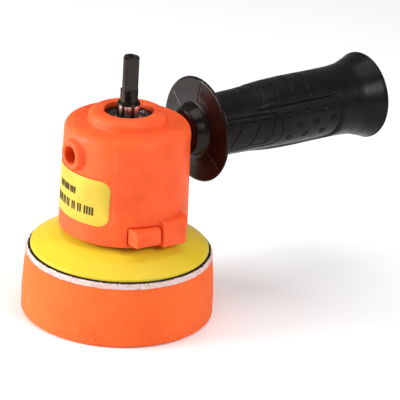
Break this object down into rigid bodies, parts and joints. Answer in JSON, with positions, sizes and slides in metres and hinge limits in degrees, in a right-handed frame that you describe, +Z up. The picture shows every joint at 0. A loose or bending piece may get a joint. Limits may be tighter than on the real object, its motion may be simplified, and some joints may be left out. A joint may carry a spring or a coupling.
{
  "type": "drill-driven orbital polisher",
  "caption": "Drill-driven orbital polishing head: three-flat drive shank, orange cup housing, side handle, spindle-lock button, yellow backing plate and orange foam pad.",
  "frame": {"origin": "drive axis at the working face of the foam pad", "axes": "+Z up the drive axis to the shank, +X along the side handle, the lock button faces -Y"},
  "size_m": [0.2147, 0.1038, 0.1431],
  "materials": {
    "orange_plastic": "moulded orange nylon with a fine satin grain",
    "yellow_label": "printed vinyl sticker",
    "zinc_steel": "zinc-plated steel",
    "dark_gloss_plastic": "dark brown-black moulded plastic, glossy",
    "black_rubber": "black moulded rubber sleeve, satin",
    "black_oxide_steel": "black-oxide turned steel",
    "seal_rubber": "black rubber bearing seal",
    "turned_steel": "turned steel",
    "bearing_steel": "ground bearing steel",
    "cage_nylon": "natural nylon cage",
    "yellow_polyurethane": "moulded yellow polyurethane, matt",
    "black_hook": "black hook sheet",
    "pale_loop": "pale brushed loop cloth",
    "orange_foam": "open-cell orange polishing foam"
  },
  "bodies": {
    "housing": {"housing_shell": "orange_plastic", "left_handle_insert": "black_oxide_steel", "right_handle_insert": "black_oxide_steel", "upper_bearing_outer_ring": "bearing_steel", "upper_bearing_seal": "seal_rubber", "upper_bearing_circlip": "black_oxide_steel", "lower_bearing_outer_ring": "bearing_steel", "lower_bearing_circlip": "black_oxide_steel", "rating_label": "yellow_label", "hand_guard": "dark_gloss_plastic", "handle_tube": "dark_gloss_plastic", "handle_grip": "black_rubber", "handle_stud": "zinc_steel"},
    "rotor": {"drive_shaft": "black_oxide_steel", "shaft_sleeve": "bearing_steel", "upper_bearing_inner_ring": "bearing_steel", "bearing_spacer": "turned_steel", "lower_bearing_inner_ring": "bearing_steel", "drive_key": "turned_steel", "shaft_circlip": "black_oxide_steel", "eccentric_hub": "turned_steel", "counterweight": "turned_steel", "counterweight_screws": "black_oxide_steel", "pad_bearing_outer_ring": "bearing_steel", "pad_bearing_seal": "seal_rubber", "pad_bearing_circlip": "black_oxide_steel"},
    "upper_cage": {"upper_ball_cage": "cage_nylon", "upper_balls": "bearing_steel"},
    "lower_cage": {"lower_ball_cage": "cage_nylon", "lower_balls": "bearing_steel"},
    "pad_cage": {"pad_ball_cage": "cage_nylon", "pad_balls": "bearing_steel"},
    "pad": {"pad_spindle": "turned_steel", "pad_bearing_inner_ring": "bearing_steel", "spindle_circlip": "black_oxide_steel", "plate_insert": "turned_steel", "backing_plate": "yellow_polyurethane", "plate_screw": "black_oxide_steel", "plate_washer": "zinc_steel", "hook_sheet": "black_hook", "loop_cloth": "pale_loop", "foam_pad": "orange_foam"},
    "lock": {"lock_button": "orange_plastic", "lock_pin": "turned_steel", "lock_spring": "zinc_steel"}
  },
  "joints": [
    {"name": "drive_spin", "type": "hinge", "parent": "housing", "child": "rotor", "pos_m": [0, 0, 0.09], "axis": [0, 0, 1], "continuous": true},
    {"name": "upper_cage_spin", "type": "hinge", "parent": "housing", "child": "upper_cage", "pos_m": [0, 0, 0.1054], "axis": [0, 0, 1], "continuous": true},
    {"name": "lower_cage_spin", "type": "hinge", "parent": "housing", "child": "lower_cage", "pos_m": [0, 0, 0.0784], "axis": [0, 0, 1], "continuous": true},
    {"name": "pad_spin", "type": "hinge", "parent": "rotor", "child": "pad", "pos_m": [-0.00225, -0.0011, 0.056], "axis": [0, 0, 1], "continuous": true},
    {"name": "pad_cage_spin", "type": "hinge", "parent": "rotor", "child": "pad_cage", "pos_m": [-0.00225, -0.0011, 0.056], "axis": [0, 0, 1], "continuous": true},
    {"name": "lock_press", "type": "slide", "parent": "housing", "child": "lock", "axis": [0, 1, 0], "range_m": [0, 0.0045], "stiffness_N_per_m": 400, "springref_m": -0.001, "deforming": ["lock_spring"]}
  ],
  "couplings": [
    {"joint": "upper_cage_spin", "follows": "drive_spin", "ratio": 0.3678},
    {"joint": "lower_cage_spin", "follows": "drive_spin", "ratio": 0.3678},
    {"joint": "pad_cage_spin", "follows": "pad_spin", "ratio": 0.3678}
  ]
}
